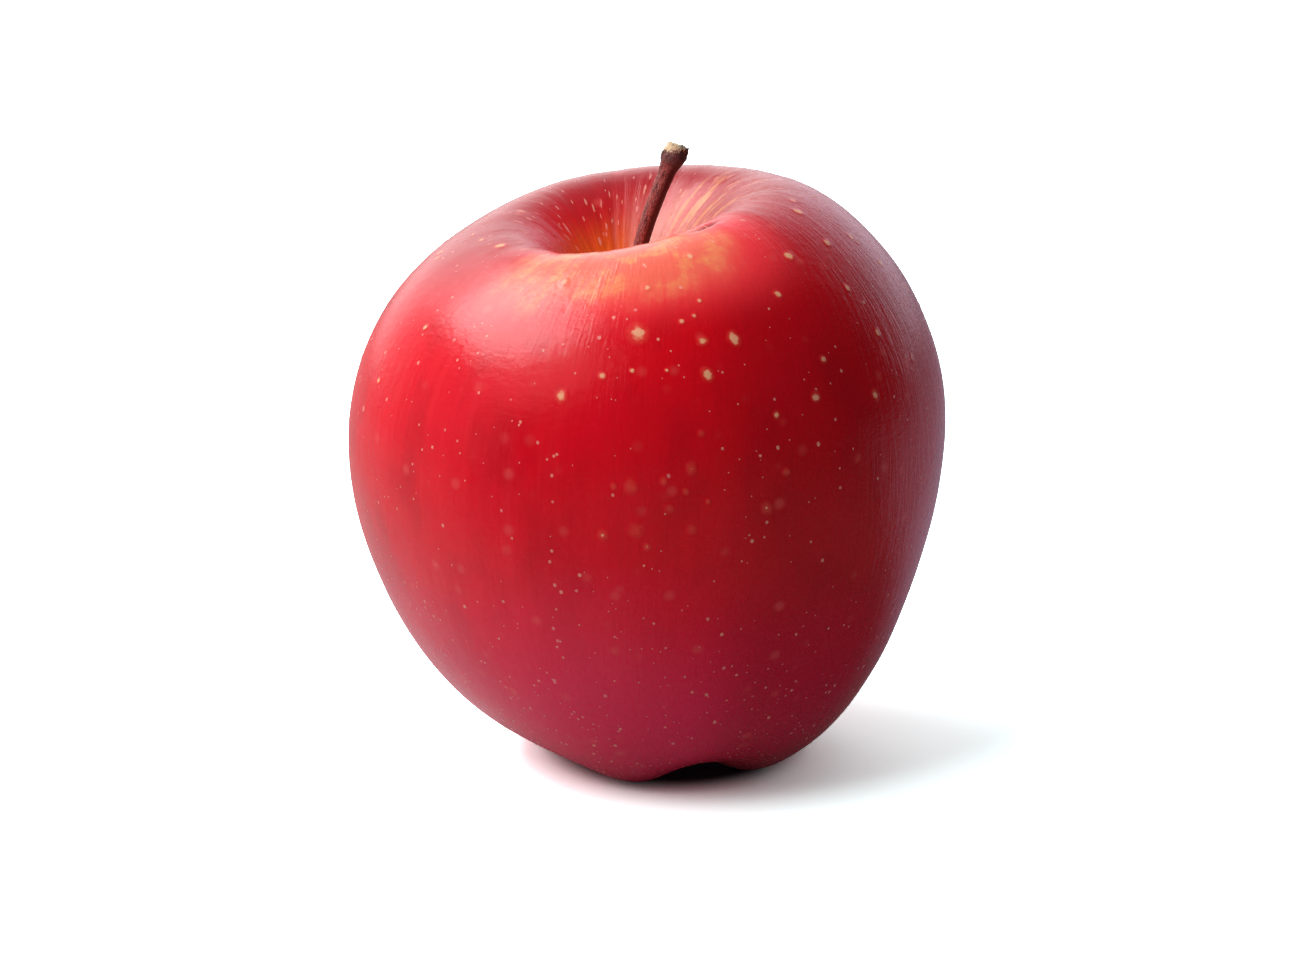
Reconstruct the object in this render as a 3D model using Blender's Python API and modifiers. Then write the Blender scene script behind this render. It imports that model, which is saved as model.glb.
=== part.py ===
"""A ripe red apple: the fruit, its stem, and the dried flower left in its base.

Metres, +Z up. The apple stands on the flats at the tips of its five lobes. The origin is
on that level, under the belly's middle. The front is -Y, and a turn is counted from the
front toward +X.
"""

import math

import bmesh
import bpy
from mathutils import Vector

MM = 0.001
UP = Vector((0.0, 0.0, 1.0))

# Fruit body: a ball whose radius and height follow the rise, from -1 at the base to 1 on top
BELLY_RADIUS = 39.3 * MM
BELLY_LEVEL = 38.5 * MM
HALF_HEIGHT = 40.5 * MM
HEIGHT_SAG = -0.025
ROUNDNESS = 0.95
TAPER = (0.105, 0.048, -0.027, 0.049)
HALVES_BLEND = 7.0

# The core bends: the cavity, the shoulder and the base each lie beside the belly's middle
CAVITY_OFFSET = Vector((-2.8 * MM, 0.1 * MM, 0.0))
SHOULDER_OFFSET = Vector((1.4 * MM, 0.5 * MM, 0.0))
BASE_OFFSET = Vector((3.7 * MM, -1.8 * MM, 0.0))
BASE_BEND = 2.4
CORE_WIDTH = 14.0 * MM

# Stem cavity in the top
CAVITY_DEPTH = 16.8 * MM
CAVITY_WIDTH = 10.6 * MM
CAVITY_FLARE = 1.9

# Shoulder around the cavity: higher at the back right, and a little higher on two sides
SHOULDER_RING = 22.0 * MM
SHOULDER_WIDTH = 13.0 * MM
SHOULDER_TILT = 2.6 * MM
SHOULDER_TILT_TURN = math.radians(126.0)
SHOULDER_PAIR = 0.65 * MM
SHOULDER_PAIR_TURN = math.radians(43.0)

# Lobes around the calyx basin
LOBES = 5
LOBE_TURN = math.radians(-20.0)
LOBE_RING = 14.2 * MM
LOBE_WIDTH = 8.1 * MM
LOBE_GROOVE = 2.75 * MM
LOBE_PINCH = 0.022
BASIN_DEPTH = 9.3 * MM
BASIN_WIDTH = 7.8 * MM

# Mesh of the fruit: rings are packed toward both poles, where the hollows are
SEGMENTS = 72
RINGS = 40
RING_PACKING = 0.28

# Stem: an arc from its socket to the swollen tip
GAP = 0.35 * MM
STEM_FOOT = Vector((-2.8 * MM, 0.1 * MM, 59.2 * MM))
STEM_TIP = Vector((4.0 * MM, 0.3 * MM, 82.0 * MM))
STEM_BOW = 1.0 * MM
STEM_RADIUS = 0.80 * MM
STEM_TIP_RADIUS = 1.15 * MM
KNOB_SWELL = 0.5 * MM
KNOB_START = 0.80
STEM_POINTS = 22

# Calyx: the eye in the basin, the sepals round it and the stamens in it
EYE_LEVEL = 6.3 * MM
EYE_DEPTH = 4.0 * MM
EYE_RADIUS = 1.7 * MM
SEPALS = LOBES
SEPAL_RING = 2.4 * MM
SEPAL_ROOT_DROP = 1.4 * MM
SEPAL_LENGTH = 3.6 * MM
SEPAL_WIDTH = 2.1 * MM
SEPAL_THICKNESS = 0.4 * MM
SEPAL_LEAN = 0.5 * MM
SEPAL_FLARE = 1.0 * MM
SEPAL_ROWS = 8
SEPAL_COLUMNS = 4
TUFT_RADIUS = 0.95 * MM
TUFT_TIP_RADIUS = 0.6 * MM
TUFT_LENGTH = 6.0 * MM

# Colours, linear
SKIN_RED = (0.43, 0.008, 0.018)
BARK_BROWN = (0.11, 0.035, 0.026)
DRY_SEPAL = (0.17, 0.11, 0.06)
DRY_STAMEN = (0.09, 0.05, 0.03)


def clear_scene():
    """Remove every object of the scene."""
    for old in list(bpy.data.objects):
        bpy.data.objects.remove(old, do_unlink=True)


def make_collection(name):
    """A collection linked to the scene."""
    group = bpy.data.collections.new(name)
    bpy.context.scene.collection.children.link(group)
    return group


def make_material(name, colour, roughness):
    """A Principled material of one colour."""
    material = bpy.data.materials.new(name)
    material.use_nodes = True
    shader = material.node_tree.nodes["Principled BSDF"]
    shader.inputs["Base Color"].default_value = (*colour, 1.0)
    shader.inputs["Roughness"].default_value = roughness
    shader.inputs["Metallic"].default_value = 0.0
    material.diffuse_color = (*colour, 1.0)
    return material


def finish_object(name, mesh, group, material=None):
    """Link a mesh as a named object, shaded smooth."""
    made = bpy.data.objects.new(name, mesh)
    group.objects.link(made)
    if material:
        mesh.materials.clear()
        mesh.materials.append(material)
        mesh.shade_smooth()
        mesh.set_sharp_from_angle(angle=math.radians(40.0))
    return made


def mesh_from_bmesh(name, bm):
    """Hand a bmesh over to a new mesh."""
    mesh = bpy.data.meshes.new(name)
    bm.to_mesh(mesh)
    bm.free()
    return mesh


def turned(turn):
    """The level direction at a turn from the front toward +X."""
    return Vector((math.sin(turn), -math.cos(turn), 0.0))


def ridge(distance, ring, width):
    """A smooth ridge: 1 on the ring, fading to both sides."""
    return math.exp(-(((distance - ring) / width) ** 2))


def packed_polar(polar):
    """Polar angle of a mesh ring, moved toward the nearer pole."""
    return polar - RING_PACKING * math.sin(2.0 * polar)


def upper_share(rise):
    """Nearly 1 in the upper half and 0 in the lower, with a soft change at the belly."""
    return 1.0 / (1.0 + math.exp(-HALVES_BLEND * rise))


def between_lobes(turn):
    """0 on a lobe's crest, 1 in the groove between two."""
    return 0.5 - 0.5 * math.cos(LOBES * (turn - LOBE_TURN))


def body_radius(polar, turn):
    """Radius of the body about its bent core."""
    rise = math.cos(polar)
    fullness = 1.0 + sum(k * rise ** (i + 1) for i, k in enumerate(TAPER))
    pinch = 1.0 - LOBE_PINCH * (1.0 - upper_share(rise)) * between_lobes(turn)
    return BELLY_RADIUS * math.sin(polar) ** ROUNDNESS * fullness * pinch


def core_offset(rise, radius):
    """How far the core lies beside the belly's middle at this rise."""
    in_core = math.exp(-((radius / CORE_WIDTH) ** 2)) * upper_share(rise)
    above = max(rise, 0.0) ** 2 * (1.0 - in_core)
    below = max(-rise, 0.0) ** BASE_BEND
    return CAVITY_OFFSET * in_core + SHOULDER_OFFSET * above + BASE_OFFSET * below


def shoulder_lift(distance, turn):
    """Height added on the shoulder, at a distance from the cavity's middle."""
    tilt = SHOULDER_TILT * math.cos(turn - SHOULDER_TILT_TURN)
    pair = SHOULDER_PAIR * math.cos(2.0 * (turn - SHOULDER_PAIR_TURN))
    return (tilt + pair) * ridge(distance, SHOULDER_RING, SHOULDER_WIDTH)


def fruit_point(polar, turn):
    """The point of the skin at a polar angle from the top and a turn from the front."""
    rise = math.cos(polar)
    upper = upper_share(rise)
    lower = 1.0 - upper
    radius = body_radius(polar, turn)
    point = turned(turn) * radius + core_offset(rise, radius)
    from_cavity = (point - CAVITY_OFFSET).length
    from_base = (point - BASE_OFFSET).length

    cavity = CAVITY_DEPTH * math.exp(-((from_cavity / CAVITY_WIDTH) ** CAVITY_FLARE))
    basin = BASIN_DEPTH * ridge(from_base, 0.0, BASIN_WIDTH)
    groove = LOBE_GROOVE * ridge(from_base, LOBE_RING, LOBE_WIDTH) * between_lobes(turn)

    height = BELLY_LEVEL + HALF_HEIGHT * (rise + HEIGHT_SAG * rise**2)
    height += upper * (shoulder_lift(from_cavity, turn) - cavity)
    height += lower * (basin + groove)
    return point + UP * height


def stem_point(share):
    """Middle of the stem, from its foot at 0 to its tip at 1."""
    straight = STEM_FOOT.lerp(STEM_TIP, share)
    return straight - Vector((STEM_BOW * math.sin(math.pi * share), 0.0, 0.0))


def stem_radius(share):
    """Radius of the stem, widening slowly and then into the knob at its tip."""
    swell = min(max((share - KNOB_START) / (0.95 - KNOB_START), 0.0), 1.0)
    swell = swell * swell * (3.0 - 2.0 * swell)
    slim = STEM_RADIUS + (STEM_TIP_RADIUS - STEM_RADIUS) * share
    return slim + KNOB_SWELL * swell - KNOB_SWELL * max(share - 0.95, 0.0) / 0.05


def add_cutter(name, bm, group, target):
    """Take a shape out of the target with a Boolean, and keep the cutter unseen."""
    cutter = finish_object(name, mesh_from_bmesh(name, bm), group)
    cutter.hide_render = True
    cutter.display_type = "WIRE"
    cut = target.modifiers.new(name, "BOOLEAN")
    cut.operation = "DIFFERENCE"
    cut.solver = "EXACT"
    cut.object = cutter
    return cutter


def make_fruit(group, cutters, material):
    """The flesh and skin as one solid, with the stem's socket, the eye and the flats cut."""
    bm = bmesh.new()
    bmesh.ops.create_uvsphere(bm, u_segments=SEGMENTS, v_segments=RINGS, radius=1.0)
    for vert in bm.verts:
        polar = packed_polar(math.acos(max(-1.0, min(1.0, vert.co.z))))
        turn = math.atan2(vert.co.x, -vert.co.y)
        vert.co = fruit_point(polar, turn)
    fruit = finish_object("fruit", mesh_from_bmesh("fruit", bm), group, material)

    socket = bmesh.new()
    bmesh.ops.create_cone(
        socket,
        cap_ends=True,
        segments=24,
        radius1=STEM_RADIUS + GAP,
        radius2=STEM_RADIUS + 2.0 * GAP,
        depth=8.0 * MM,
    )
    socket_cutter = add_cutter("stem_socket_cutter", socket, cutters, fruit)
    foot_direction = (stem_point(0.2) - stem_point(0.0)).normalized()
    socket_cutter.rotation_mode = "QUATERNION"
    socket_cutter.rotation_quaternion = UP.rotation_difference(foot_direction)
    socket_cutter.location = STEM_FOOT + foot_direction * (4.0 * MM - GAP)

    eye = bmesh.new()
    bmesh.ops.create_cone(
        eye,
        cap_ends=True,
        segments=24,
        radius1=EYE_RADIUS * 1.15,
        radius2=EYE_RADIUS * 0.8,
        depth=2.0 * EYE_DEPTH,
    )
    eye_cutter = add_cutter("eye_cutter", eye, cutters, fruit)
    eye_cutter.location = BASE_OFFSET + UP * EYE_LEVEL

    table = bmesh.new()
    bmesh.ops.create_cube(table, size=4.0 * BELLY_RADIUS)
    table_cutter = add_cutter("table_cutter", table, cutters, fruit)
    table_cutter.location = UP * (-2.0 * BELLY_RADIUS)
    return fruit


def make_stem(group, material):
    """The woody stalk, a curve with round sections and closed ends."""
    curve = bpy.data.curves.new("stem_line", "CURVE")
    curve.dimensions = "3D"
    curve.bevel_depth = 1.0
    curve.bevel_resolution = 3
    curve.use_fill_caps = True
    line = curve.splines.new("POLY")
    line.points.add(STEM_POINTS - 1)
    for index, point in enumerate(line.points):
        share = index / (STEM_POINTS - 1)
        point.co = (*stem_point(share), 1.0)
        point.radius = stem_radius(share)
    curve.materials.append(material)
    stem = bpy.data.objects.new("stem", curve)
    group.objects.link(stem)
    return stem


def sepal_point(across, along):
    """A point of a sepal: across from -1 to 1, along from its root at 0 to its tip at 1."""
    half_width = 0.5 * SEPAL_WIDTH * (1.0 - 0.85 * along**1.6)
    radius = SEPAL_RING - SEPAL_LEAN * math.sin(math.pi * along) ** 2
    radius += SEPAL_FLARE * max(along - 0.6, 0.0) / 0.4 - SEPAL_LEAN * along * 0.4
    turn = across * half_width / SEPAL_RING
    drop = EYE_LEVEL - SEPAL_ROOT_DROP - SEPAL_LENGTH * along
    return turned(turn) * radius + UP * drop


def make_sepal(number, group, material):
    """One dried sepal hanging from the eye's rim, a thin blade curved round the eye."""
    bm = bmesh.new()
    bmesh.ops.create_grid(bm, x_segments=SEPAL_COLUMNS, y_segments=SEPAL_ROWS, size=1.0)
    for vert in bm.verts:
        vert.co = sepal_point(vert.co.x, 0.5 + 0.5 * vert.co.y)
    name = f"sepal_{number}"
    sepal = finish_object(name, mesh_from_bmesh(name, bm), group, material)
    sepal.location = BASE_OFFSET
    sepal.rotation_euler.z = LOBE_TURN + math.tau * (number - 0.5) / SEPALS
    blade = sepal.modifiers.new("blade", "SOLIDIFY")
    blade.thickness = SEPAL_THICKNESS
    blade.offset = 0.0
    return sepal


def make_stamens(group, material):
    """The dried stamens as one tuft, standing in the eye."""
    bm = bmesh.new()
    bmesh.ops.create_cone(
        bm,
        cap_ends=True,
        segments=16,
        radius1=TUFT_TIP_RADIUS,
        radius2=TUFT_RADIUS,
        depth=TUFT_LENGTH,
    )
    stamens = finish_object("stamens", mesh_from_bmesh("stamens", bm), group, material)
    stamens.location = BASE_OFFSET + UP * (EYE_LEVEL + EYE_DEPTH - GAP - 0.5 * TUFT_LENGTH)
    return stamens


def make_apple():
    """Every sub-part of the apple."""
    clear_scene()
    apple = make_collection("apple")
    cutters = make_collection("apple_cutters")
    dry_sepal = make_material("dry_sepal", DRY_SEPAL, 0.9)
    make_fruit(apple, cutters, make_material("apple_skin", SKIN_RED, 0.28))
    make_stem(apple, make_material("stem_bark", BARK_BROWN, 0.7))
    for number in range(1, SEPALS + 1):
        make_sepal(number, apple, dry_sepal)
    make_stamens(apple, make_material("dry_stamen", DRY_STAMEN, 0.95))


make_apple()
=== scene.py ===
"""Looks of the ripe red apple: its skin, skin dots, stem, sepals and stamens.

Metres, +Z up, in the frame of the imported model: the apple stands at the origin on z = 0,
with its front toward -Y. A turn is counted from the front toward +X.
"""

import math

import bmesh
import bpy
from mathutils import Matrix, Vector
from mathutils.bvhtree import BVHTree


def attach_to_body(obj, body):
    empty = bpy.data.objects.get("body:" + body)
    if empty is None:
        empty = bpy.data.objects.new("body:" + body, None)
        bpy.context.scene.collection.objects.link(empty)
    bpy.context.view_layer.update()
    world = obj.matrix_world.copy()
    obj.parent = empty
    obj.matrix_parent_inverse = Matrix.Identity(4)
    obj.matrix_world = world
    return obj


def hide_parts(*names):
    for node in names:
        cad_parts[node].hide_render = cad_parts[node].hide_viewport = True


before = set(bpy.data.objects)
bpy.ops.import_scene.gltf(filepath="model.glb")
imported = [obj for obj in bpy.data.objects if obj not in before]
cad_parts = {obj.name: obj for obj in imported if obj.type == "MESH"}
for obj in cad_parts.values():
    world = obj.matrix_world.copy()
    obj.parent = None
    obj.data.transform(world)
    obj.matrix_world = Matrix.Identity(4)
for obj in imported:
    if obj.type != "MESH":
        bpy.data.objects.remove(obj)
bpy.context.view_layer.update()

MM = 0.001
UP = Vector((0.0, 0.0, 1.0))

# ---------------------------------------------------------------- sizes of the fruit

LOBES = 5
FRUIT_SIZES = {
    "Segments": 352,
    "Rings": 264,
    "Ring Packing": 0.28,
    "Belly Radius": 39.3 * MM,
    "Belly Level": 38.5 * MM,
    "Half Height": 40.5 * MM,
    "Height Sag": -0.025,
    "Roundness": 0.95,
    "Halves Blend": 7.0,
    "Core Width": 14.0 * MM,
    "Base Bend": 2.4,
    "Cavity Depth": 16.8 * MM,
    "Cavity Width": 10.6 * MM,
    "Cavity Flare": 1.9,
    "Shoulder Ring": 22.0 * MM,
    "Shoulder Width": 13.0 * MM,
    "Shoulder Tilt": 2.6 * MM,
    "Shoulder Pair": 0.65 * MM,
    "Lobe Ring": 14.2 * MM,
    "Lobe Width": 8.1 * MM,
    "Lobe Groove": 2.75 * MM,
    "Lobe Pinch": 0.022,
    "Basin Depth": 9.3 * MM,
    "Basin Width": 7.8 * MM,
    "Socket Radius": 1.3 * MM,
    "Socket Depth": 2.2 * MM,
    "Eye Radius": 1.9 * MM,
    "Eye Depth": 3.6 * MM,
    "Waviness": 0.30 * MM,
    "Ribbing": 0.30 * MM,
    "Crease Depth": 0.35 * MM,
}
TAPER = (0.105, 0.048, -0.027, 0.049)
CAVITY_MIDDLE = Vector((-2.8 * MM, 0.1 * MM, 0.0))
SHOULDER_OFFSET = Vector((1.4 * MM, 0.5 * MM, 0.0))
BASE_MIDDLE = Vector((3.7 * MM, -1.8 * MM, 0.0))
SHOULDER_TILT_TURN = math.radians(126.0)
SHOULDER_PAIR_TURN = math.radians(43.0)
LOBE_TURN = math.radians(-20.0)
CREASE_MIDDLE = Vector((7.5 * MM, -13.9 * MM, 0.0))
CREASE_DIRECTION = Vector((0.80, 0.60, 0.0))
CREASE_LENGTH = 3.8 * MM
CREASE_WIDTH = 0.40 * MM
CREASE_LEVELS = (60.0 * MM, 66.0 * MM)
WAVE_LEVELS = (0.4 * MM, 6.0 * MM)
RIB_FOOT_RING = (1.5 * MM, 6.0 * MM)
RIB_FADE_RING = (12.0 * MM, 30.0 * MM)

# ---------------------------------------------------------------- node helpers


def math_method(operation):
    """A method of Field that adds a Math node of one kind."""

    def method(self, *others):
        return self.math(operation, *others)

    return method


class Field:
    """A number over a surface. Arithmetic on it adds Math nodes to its tree."""

    def __init__(self, tree, socket):
        self.tree = tree
        self.socket = socket

    def math(self, operation, *others):
        node = add_node(self.tree, "ShaderNodeMath", operation=operation)
        for socket, value in zip(node.inputs, (self, *others)):
            feed(self.tree, socket, value)
        return Field(self.tree, node.outputs[0])

    def ramp(self, low, high, start=0.0, end=1.0):
        """A smooth step from start to end as the number goes from low to high."""
        ends = {"Value": self, "From Min": low, "From Max": high, "To Min": start, "To Max": end}
        step = add_node(self.tree, "ShaderNodeMapRange", ends, interpolation_type="SMOOTHSTEP")
        return Field(self.tree, step.outputs["Result"])

    def __neg__(self):
        return self * -1.0

    def __rsub__(self, other):
        return self * -1.0 + other

    __add__ = __radd__ = math_method("ADD")
    __mul__ = __rmul__ = math_method("MULTIPLY")
    __sub__ = math_method("SUBTRACT")
    __truediv__ = math_method("DIVIDE")
    __pow__ = math_method("POWER")
    cos = math_method("COSINE")
    sin = math_method("SINE")
    exp = math_method("EXPONENT")
    least = math_method("MINIMUM")
    most = math_method("MAXIMUM")


def add_node(tree, kind, inputs=None, **settings):
    """A node with its settings, and with its inputs linked or set by name or number."""
    node = tree.nodes.new(kind)
    for name, value in settings.items():
        setattr(node, name, value)
    for name, value in (inputs or {}).items():
        feed(tree, node.inputs[name], value)
    return node


def made(tree, kind, inputs=None, **settings):
    """The first output of a new node."""
    return add_node(tree, kind, inputs, **settings).outputs[0]


def feed(tree, socket, value):
    """Link a field or a socket, or set a plain value."""
    if isinstance(value, Field):
        value = value.socket
    if isinstance(value, bpy.types.NodeSocket):
        tree.links.new(value, socket)
    else:
        socket.default_value = value


def split(tree, vector):
    """The three numbers of a vector socket."""
    node = add_node(tree, "ShaderNodeSeparateXYZ", {"Vector": vector})
    return [Field(tree, out) for out in node.outputs]


def combine(tree, x, y, z):
    """A vector socket from three numbers."""
    return made(tree, "ShaderNodeCombineXYZ", {"X": x, "Y": y, "Z": z})


def ridge(distance, ring, width):
    """A smooth ridge: 1 on the ring, fading to both sides."""
    off = (distance - ring) / width
    return (-(off * off)).exp()


def noise(tree, vector, scale, detail=2.0, roughness=0.5, distortion=0.0):
    """Noise around a place, from 0 to 1."""
    settings = {
        "Vector": vector,
        "Scale": scale,
        "Detail": detail,
        "Roughness": roughness,
        "Distortion": distortion,
    }
    return Field(tree, made(tree, "ShaderNodeTexNoise", settings))


def stretched(tree, vector, scale):
    """A vector scaled differently along its three axes."""
    return made(tree, "ShaderNodeVectorMath", {0: vector, 1: scale}, operation="MULTIPLY")


# ---------------------------------------------------------------- growing with Geometry Nodes

SOCKET_KINDS = {
    int: "NodeSocketInt",
    float: "NodeSocketFloat",
    bpy.types.Object: "NodeSocketObject",
}


def geometry_tree(name, sizes, material, build):
    """A Geometry Nodes group with a named input for each size, ending in a plain mesh."""
    tree = bpy.data.node_groups.new(name, "GeometryNodeTree")
    tree.is_modifier = True
    tree.interface.new_socket("Geometry", in_out="INPUT", socket_type="NodeSocketGeometry")
    for label, value in sizes.items():
        kind = SOCKET_KINDS[type(value)]
        tree.interface.new_socket(label, in_out="INPUT", socket_type=kind)
    tree.interface.new_socket("Geometry", in_out="OUTPUT", socket_type="NodeSocketGeometry")
    source = tree.nodes.new("NodeGroupInput")
    size = {label: Field(tree, source.outputs[label]) for label in sizes}
    grown = build(tree, source.outputs["Geometry"], size)
    real = made(tree, "GeometryNodeRealizeInstances", {"Geometry": grown})
    smooth = made(tree, "GeometryNodeSetShadeSmooth", {"Geometry": real})
    painted = made(tree, "GeometryNodeSetMaterial", {"Geometry": smooth, "Material": material})
    result = tree.nodes.new("NodeGroupOutput")
    tree.links.new(painted, result.inputs[0])
    return tree


def grow(name, tree, sizes, base=None):
    """Run a tree on a base mesh with these sizes, and keep the result as a plain object."""
    host = bpy.data.objects.new(name, base or bpy.data.meshes.new(name))
    bpy.context.collection.objects.link(host)
    growth = host.modifiers.new("growth", "NODES")
    growth.node_group = tree
    for item in tree.interface.items_tree:
        if item.in_out == "INPUT" and item.name in sizes:
            growth[item.identifier] = sizes[item.name]
    depsgraph = bpy.context.evaluated_depsgraph_get()
    mesh = bpy.data.meshes.new_from_object(
        host.evaluated_get(depsgraph), preserve_all_data_layers=True, depsgraph=depsgraph
    )
    mesh.name = name
    host.modifiers.remove(growth)
    host.data = mesh
    return host


def named_attribute(tree, name, kind="FLOAT"):
    """Read an attribute of the mesh in a geometry tree."""
    node = add_node(tree, "GeometryNodeInputNamedAttribute", {"Name": name}, data_type=kind)
    return node.outputs["Attribute"]


def position(tree):
    """The place of each point in a geometry tree."""
    return made(tree, "GeometryNodeInputPosition")


def normal(tree):
    """The direction each point faces in a geometry tree."""
    return made(tree, "GeometryNodeInputNormal")


def store(tree, geometry, name, value, kind="FLOAT"):
    """Keep a value on the mesh's points under a name."""
    inputs = {"Geometry": geometry, "Name": name, "Value": value}
    return made(
        tree, "GeometryNodeStoreNamedAttribute", inputs, data_type=kind, domain="POINT"
    )


def move(tree, geometry, **change):
    """Give a geometry's points a new Position, or shift them by an Offset."""
    return made(tree, "GeometryNodeSetPosition", {"Geometry": geometry, **change})


# ---------------------------------------------------------------- fruit


def cosine_about(turn, middle, count=1.0):
    """Cosine of a turn counted from a middle turn, with a number of waves round the fruit."""
    return ((turn - middle) * count).cos()


def distance_from(x, y, middle):
    """Level distance from a point beside the axis."""
    return ((x - middle.x) ** 2.0 + (y - middle.y) ** 2.0) ** 0.5


def build_fruit(tree, _, size):
    """The fruit's skin from a ball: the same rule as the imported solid's, with finer relief."""
    roundness = {"Segments": size["Segments"], "Rings": size["Rings"], "Radius": 1.0}
    ball = made(tree, "GeometryNodeMeshUVSphere", roundness)
    ball_x, ball_y, ball_z = split(tree, position(tree))

    even = ball_z.most(-1.0).least(1.0).math("ARCCOSINE")
    polar = even - (even * 2.0).sin() * size["Ring Packing"]
    turn = ball_x.math("ARCTAN2", -ball_y)
    rise = polar.cos()
    upper = ((rise * size["Halves Blend"] * -1.0).exp() + 1.0) ** -1.0
    lower = 1.0 - upper
    groove_share = cosine_about(turn, LOBE_TURN, float(LOBES)) * -0.5 + 0.5

    fullness = sum((rise ** float(i + 1) * k for i, k in enumerate(TAPER)), start=0.0) + 1.0
    radius = polar.sin().most(0.0) ** size["Roundness"] * size["Belly Radius"] * fullness
    radius = radius * (1.0 - lower * groove_share * size["Lobe Pinch"])

    in_core = ridge(radius, 0.0, size["Core Width"]) * upper
    above = rise.most(0.0) ** 2.0 * (1.0 - in_core)
    below = (-rise).most(0.0) ** size["Base Bend"]
    side_x = turn.sin()
    side_y = -turn.cos()
    x = radius * side_x + in_core * CAVITY_MIDDLE.x + above * SHOULDER_OFFSET.x
    x = x + below * BASE_MIDDLE.x
    y = radius * side_y + in_core * CAVITY_MIDDLE.y + above * SHOULDER_OFFSET.y
    y = y + below * BASE_MIDDLE.y
    from_cavity = distance_from(x, y, CAVITY_MIDDLE)
    from_base = distance_from(x, y, BASE_MIDDLE)

    tilt = cosine_about(turn, SHOULDER_TILT_TURN) * size["Shoulder Tilt"]
    pair = cosine_about(turn, SHOULDER_PAIR_TURN, 2.0) * size["Shoulder Pair"]
    shoulder = (tilt + pair) * ridge(from_cavity, size["Shoulder Ring"], size["Shoulder Width"])
    funnel = (-((from_cavity / size["Cavity Width"]) ** size["Cavity Flare"])).exp()
    cavity = funnel * size["Cavity Depth"]
    socket_wall = size["Socket Radius"]
    socket = from_cavity.ramp(socket_wall * 0.6, socket_wall * 1.5, 1.0, 0.0)
    basin = ridge(from_base, 0.0, size["Basin Width"]) * size["Basin Depth"]
    groove = ridge(from_base, size["Lobe Ring"], size["Lobe Width"]) * size["Lobe Groove"]
    eye_wall = size["Eye Radius"]
    eye = from_base.ramp(eye_wall * 0.7, eye_wall * 1.3, 1.0, 0.0)

    height = size["Belly Level"] + (rise + rise * rise * size["Height Sag"]) * size["Half Height"]
    height = height + upper * (shoulder - cavity - socket * size["Socket Depth"])
    height = height + lower * (basin + groove * groove_share + eye * size["Eye Depth"])

    kept = store(tree, ball, "flow", combine(tree, side_x, side_y, polar / math.pi), "FLOAT_VECTOR")
    kept = store(tree, kept, "from_cavity", from_cavity * upper + lower)
    kept = store(tree, kept, "from_base", from_base * lower + upper)
    grown = move(tree, kept, Position=combine(tree, x, y, height.most(0.0)))
    return roughen_fruit(tree, grown, size)


def roughen_fruit(tree, grown, size):
    """Uneven growth: broad waves, ribs that run into the cavity, and a crease on its lip."""
    place = position(tree)
    flow = named_attribute(tree, "flow", "FLOAT_VECTOR")
    from_cavity = Field(tree, named_attribute(tree, "from_cavity"))
    x, y, z = split(tree, place)
    above_floor = z.ramp(*WAVE_LEVELS)

    waves = (noise(tree, place, 55.0, 1.0) - 0.5) * size["Waviness"] * 2.0 * above_floor
    rib_noise = noise(tree, stretched(tree, flow, (1.0, 1.0, 0.35)), 5.0, 2.0) - 0.5
    near_cavity = from_cavity.ramp(*RIB_FADE_RING, 1.0, 0.12)
    off_foot = from_cavity.ramp(*RIB_FOOT_RING)
    ribs = rib_noise * near_cavity * off_foot * size["Ribbing"] * 2.0

    along = (x - CREASE_MIDDLE.x) * CREASE_DIRECTION.x + (y - CREASE_MIDDLE.y) * CREASE_DIRECTION.y
    across = (y - CREASE_MIDDLE.y) * CREASE_DIRECTION.x - (x - CREASE_MIDDLE.x) * CREASE_DIRECTION.y
    upper_side = z.ramp(*CREASE_LEVELS)
    crease = ridge(along, 0.0, CREASE_LENGTH * 0.5) * ridge(across, 0.0, CREASE_WIDTH) * upper_side
    lift = waves + ribs - crease * size["Crease Depth"]
    outward = {0: normal(tree), "Scale": lift}
    kept = store(tree, grown, "crease", crease)
    return move(tree, kept, Offset=made(tree, "ShaderNodeVectorMath", outward, operation="SCALE"))


# ---------------------------------------------------------------- shader helpers


def mix(tree, factor, under, over):
    """One colour laid over another by a factor."""
    node = add_node(tree, "ShaderNodeMix", data_type="RGBA")
    feed(tree, node.inputs[0], factor)
    feed(tree, node.inputs[6], under)
    feed(tree, node.inputs[7], over)
    return node.outputs[2]


def shader_vector(tree, name):
    """A vector that the mesh keeps at each point, read in a material."""
    return add_node(tree, "ShaderNodeAttribute", attribute_name=name).outputs["Vector"]


def shader_number(tree, name):
    """A number that the mesh keeps at each point, read in a material."""
    return Field(tree, add_node(tree, "ShaderNodeAttribute", attribute_name=name).outputs["Fac"])


def object_place(tree):
    """Where a point lies on its own object."""
    return add_node(tree, "ShaderNodeTexCoord").outputs["Object"]


def new_group(name, inputs, outputs):
    """A shader node group with named inputs and outputs, each with its kind of socket."""
    tree = bpy.data.node_groups.new(name, "ShaderNodeTree")
    for label, kind in inputs.items():
        tree.interface.new_socket(label, in_out="INPUT", socket_type=kind)
    for label, kind in outputs.items():
        tree.interface.new_socket(label, in_out="OUTPUT", socket_type=kind)
    return tree, tree.nodes.new("NodeGroupInput"), tree.nodes.new("NodeGroupOutput")


def place_group(tree, group, inputs=None):
    """Put a node group into a material with its own values."""
    node = tree.nodes.new("ShaderNodeGroup")
    node.node_tree = group
    for name, value in (inputs or {}).items():
        feed(tree, node.inputs[name], value)
    return node


def new_material(name):
    """A material with a Principled shader, and its tree."""
    material = bpy.data.materials.new(name)
    material.use_nodes = True
    return material, material.node_tree, material.node_tree.nodes["Principled BSDF"]


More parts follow.
